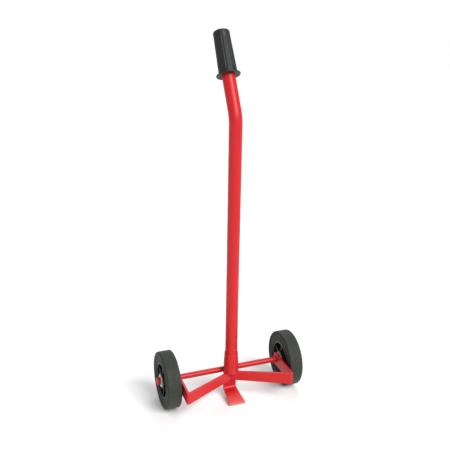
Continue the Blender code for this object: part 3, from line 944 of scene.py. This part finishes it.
bm = bmesh.new()
rings = set()
for radius in (POLE_RADIUS, POLE_RADIUS - POLE_WALL):
    circle = bmesh.ops.create_circle(
        bm, segments=POLE_SIDES, radius=radius, matrix=Matrix.Translation((0, 0, POLE_FOOT))
    )
    rings |= {edge for vert in circle["verts"] for edge in vert.link_edges}
end = bmesh.ops.bridge_loops(bm, edges=list(rings))["faces"]
tangent = CRANK_RADIUS * math.tan(CRANK_ANGLE / 2)
end = pulled(bm, end, Vector((0, 0, POLE_TO_CRANK - tangent - POLE_FOOT)))
swung = bmesh.ops.spin(
    bm,
    geom=end,
    cent=(0, CRANK_RADIUS, POLE_TO_CRANK - tangent),
    axis=(1, 0, 0),
    angle=-CRANK_ANGLE,
    steps=CRANK_STEPS,
)
bmesh.ops.delete(bm, geom=end, context="FACES")
end = [item for item in swung["geom_last"] if isinstance(item, bmesh.types.BMFace)]
pulled(bm, end, Matrix.Rotation(-CRANK_ANGLE, 3, "X") @ Vector((0, 0, POLE_ABOVE_CRANK - tangent)))
bmesh.ops.delete(bm, geom=end, context="FACES")
bmesh.ops.transform(bm, verts=bm.verts, matrix=POLE_LINE)
bmesh.ops.recalc_face_normals(bm, faces=bm.faces)
finished(as_object("bent_pole", bm, POWDER_COAT), "frame", "pole_tube")

# %% [markdown]
# ## Socket
#
# The pole stands in a turned socket that widens towards its foot. Its top edge is machined to a clear
# round, and as the thing nearest the eye down there, that edge carries a bright line. The foot is cut
# away where it sits over the rod.

# %% Socket
SOCKET_SECTION = [
    (20.0, 0, 0),
    (20.0, 21.5, 0),
    (84.0, 21.5, 0.3),
    (84.0, 23.4, 1.5),
    (36.0, 26.0, 9.0),
    (8.5, 26.0, 0.8),
    (8.5, 0, 0),
]

socket = as_object("turned_socket", turned(SOCKET_SECTION, POLE_LINE, ease_steps=5), POWDER_COAT)
combined(socket, plain_rod(120.0, BORE, outwards("right", axle_middle), sides=TURNED_SIDES), "DIFFERENCE")
finished(socket, "frame", "pole_socket")

# %% [markdown]
# ## Welds
#
# What holds the frame together is weld, laid as a row of overlapping drops about 3 mm apart. A bead is
# turned like any round piece: a long thin rod whose radius swells at each drop and tapers to nothing at
# both ends. Half of it is buried in the joint, so what shows is a ripple of the right size.
#
# A straight bead is put between two points. A bead round a rod or a socket is the same rod, bent into a
# circle.

# %% Lay a bead
DROP_PITCH = 3.0
DROP_SWELL = 0.12
OVERLAP = 5.0
BEAD_SIDES = 12
STEPS_PER_DROP = 4


def bead_rod(length, radius):
    """A rippled rod along Z from the origin. Length and radius are in millimetres."""
    drops = max(3, round(length / DROP_PITCH))
    count = drops * STEPS_PER_DROP
    section = [(0, 0, 0)]
    for step in range(1, count):
        share = step / count
        taper = min(1, math.sqrt(min(share, 1 - share) * length / radius))
        swell = 1 + DROP_SWELL * (abs(math.sin(math.pi * share * drops)) - 0.5)
        section.append((share * length, radius * taper * swell, 0))
    return turned(section + [(length, 0, 0)], Matrix.Identity(4), BEAD_SIDES)


def straight_bead(name, start, end, radius):
    """A bead between two points of the frame's own space."""
    start, end = Vector(start) * MM, Vector(end) * MM
    bm = bead_rod((end - start).length / MM, radius)
    turn = (end - start).to_track_quat("Z", "Y").to_matrix().to_4x4()
    bmesh.ops.transform(bm, verts=bm.verts, matrix=FRAME_LINE @ Matrix.Translation(start) @ turn)
    finished(as_object(name, bm, POWDER_COAT), "frame")


def round_bead(name, place, ring_radius, radius):
    """A bead bent into a circle round its place's Z axis. Its end overlaps its start."""
    bm = bead_rod(math.tau * ring_radius + OVERLAP, radius)
    for vert in bm.verts:
        angle = vert.co.z / (ring_radius * MM)
        reach = ring_radius * MM + vert.co.x
        vert.co = Vector((reach * math.cos(angle), reach * math.sin(angle), vert.co.y))
    bmesh.ops.transform(bm, verts=bm.verts, matrix=place)
    bmesh.ops.recalc_face_normals(bm, faces=bm.faces)
    finished(as_object(name, bm, POWDER_COAT), "frame")


print("a bead has a drop every", DROP_PITCH, "mm")

# %% [markdown]
# ## Laying the welds
#
# Each bead goes where two pieces meet: round the rod at the plates, up the inside corner between plate
# and brace, down the notch where the braces meet, round the socket's foot, and where the toe's shank
# touches brace and rod. Their places are in millimetres from the middle of the axle, in the frame's own
# tilted space.

# %% Lay the welds
start_behind = Matrix.Rotation(math.pi / 2, 4, "Z")
foot = POLE_LINE @ Matrix.Translation((0, 0, 7.6 * MM)) @ start_behind
round_bead("weld_socket_foot", foot, 24.3, 3.0)
straight_bead("weld_braces_front", (0, -31.3, -29), (0, -31.3, 4), 2.4)
straight_bead("weld_shank_rod_top", (-21, -9.4, 7.2), (21, -9.4, 7.2), 2.8)
straight_bead("weld_shank_rod_under", (-21, -9.4, -7.2), (21, -9.4, -7.2), 2.8)
for side, sign in SIDES.items():
    start_below = Matrix.Rotation(0 if side == "right" else math.pi, 4, "Z")
    plate_face = outwards(side, axle_middle) @ Matrix.Translation((0, 0, 184.2 * MM)) @ start_below
    round_bead(f"weld_{side}_rod", plate_face, 11.3, 2.6)
    x = sign * 183.4
    straight_bead(f"weld_{side}_corner_inside", (x, -120.6, -21), (x, -120.6, 19), 2.6)
    x = sign * 185.1
    straight_bead(f"weld_{side}_corner_front", (x, -130.2, -22), (x, -130.2, 20), 0.8)
    straight_bead(f"weld_{side}_shank", (sign * 9, -23.6, -29), (sign * 9, -23.6, 3), 3.2)

# %% [markdown]
# ## Hand grip
#
# The grip is a moulded sleeve that is pushed over the tube. A round flange at its lower end keeps the
# hand from sliding off, sixteen shallow flutes run up it, and a plain band closes the top.
#
# It is turned first, with rings every few millimetres. Then each point on the fluted length is drawn in
# by a formula: a wave round the grip that is narrow at its bottom, times a ramp that fades it out at both
# ends.

# %% Hand grip
GRIP_LENGTH = 146.0
GRIP_BOTTOM_RADIUS, GRIP_TOP_RADIUS = 30.0, 26.0
FLUTES = 16
FLUTE_DEPTH = 1.1 * MM
FLUTE_START, FLUTE_END = 11.0, 127.0
FLUTE_FADE = 6.0
GRIP_SIDES = FLUTES * 10
GRIP_RINGS = 40


def grip_radius(along):
    """The grip's own radius, which shrinks evenly from its flange to its top."""
    return GRIP_BOTTOM_RADIUS + (GRIP_TOP_RADIUS - GRIP_BOTTOM_RADIUS) * along / GRIP_LENGTH


section = [(139.0, 0, 0), (139.0, 21.5, 0), (0, 21.5, 0.5), (0, 38.5, 1.3), (4.0, 38.5, 1.3)]
section += [(4.0, grip_radius(4.0), 2.5)]
for number in range(GRIP_RINGS + 1):
    along = FLUTE_START - 2 + (FLUTE_END - FLUTE_START + 4) * number / GRIP_RINGS
    section.append((along, grip_radius(along), 0))
section += [(131.0, grip_radius(131.0) + 0.3, 0.3), (GRIP_LENGTH, GRIP_TOP_RADIUS, 5.0)]
section += [(GRIP_LENGTH, 3.4, 0.3), (GRIP_LENGTH - 0.7, 2.7, 0.2), (GRIP_LENGTH - 0.7, 0, 0)]
bm = turned(section, Matrix.Identity(4), GRIP_SIDES, ease_steps=6)
for vert in bm.verts:
    along, radius = vert.co.z / MM, vert.co.xy.length / MM
    if not FLUTE_START <= along <= FLUTE_END or radius < grip_radius(along) - 1:
        continue
    wave = (0.5 + 0.5 * math.cos(FLUTES * math.atan2(vert.co.y, vert.co.x))) ** 3
    fade = min(1, (along - FLUTE_START) / FLUTE_FADE, (FLUTE_END - along) / FLUTE_FADE)
    vert.co.xy *= 1 - FLUTE_DEPTH * wave * fade / (radius * MM)
bmesh.ops.transform(bm, verts=bm.verts, matrix=GRIP_LINE)
finished(as_object("fluted_grip", bm, GRIP_PLASTIC), "frame", "hand_grip")

# %% [markdown]
# ## Floor and light
#
# The studio is plain: a pale floor that runs out of sight into a background of the same white. The key
# light is high to the right of the camera and very soft, so the pole is bright on its right and turns
# deep crimson on its left. A sun lamp does this best, because its light doesn't fall off, and the floor
# stays equally white all the way back. A wide lamp overhead and a weak one from the left shape the rest.
#
# The world fills in evenly. The camera sees it at full white, but its light is weaker than that, or every
# dark piece would look washed out. The Light Path node tells the two apart.

# %% Floor and light
FLOOR_WHITE = "#F9F9F9"
FLOOR_SHADE = "#F5F5F5"
SKY_SEEN = 1.0
SKY_LIGHT = 0.55
SUN_PLACE = Vector((1.0, -2.8, 2.9))
SUN_STRENGTH = 2.8
SUN_SOFTNESS = math.radians(32)
TARGET = Vector((0, 0, 0.5))
LAMPS = {
    "back_lamp": ((0.9, 1.7, 2.6), 1.5, 18),
    "front_lamp": ((-0.3, -2.6, 2.2), 1.0, 9),
}


def aimed(name, light, spot):
    """Places a light so that it shines from its spot at the middle of the trolley."""
    lamp = bpy.data.objects.new(name, light)
    turn = (TARGET - Vector(spot)).to_track_quat("-Z", "Y").to_matrix().to_4x4()
    lamp.matrix_world = Matrix.Translation(spot) @ turn
    bpy.context.scene.collection.objects.link(lamp)


# Matt white paper: it shows soft shadows and no reflections.
FLOOR = new_material("pale_floor", {"Roughness": 0.9, "Specular IOR Level": 0.1})
place = add(FLOOR, "TexCoord", {}).outputs["Object"]
mottle = add(FLOOR, "TexNoise", {"Vector": place, "Scale": every(400), "Detail": 2.0}).outputs["Fac"]
tone = add(
    FLOOR, "Mix", {0: mottle, 6: colour(FLOOR_SHADE), 7: colour(FLOOR_WHITE)}, data_type="RGBA"
).outputs[2]
feed(FLOOR, "Base Color", tone)
bm = bmesh.new()
bmesh.ops.create_grid(bm, x_segments=1, y_segments=1, size=30)
as_object("floor", bm, FLOOR)

sun = bpy.data.lights.new("key_sun", "SUN")
sun.energy = SUN_STRENGTH
sun.angle = SUN_SOFTNESS
aimed("key_sun", sun, SUN_PLACE)
for name, (spot, size, power) in LAMPS.items():
    softbox = bpy.data.lights.new(name, "AREA")
    softbox.shape = "DISK"
    softbox.size = size
    softbox.energy = power
    aimed(name, softbox, spot)

world = bpy.data.worlds.new("studio")
world.use_nodes = True
seen = add(world, "LightPath", {}).outputs["Is Camera Ray"]
level = add(world, "MapRange", {"Value": seen, "To Min": SKY_LIGHT, "To Max": SKY_SEEN})
sky = world.node_tree.nodes["Background"]
sky.inputs["Color"].default_value = colour("#FFFFFF")
world.node_tree.links.new(level.outputs["Result"], sky.inputs["Strength"])
bpy.context.scene.world = world
bpy.context.scene.view_settings.view_transform = "Standard"
print("lit by a soft sun,", len(LAMPS), "lamps and an even sky")
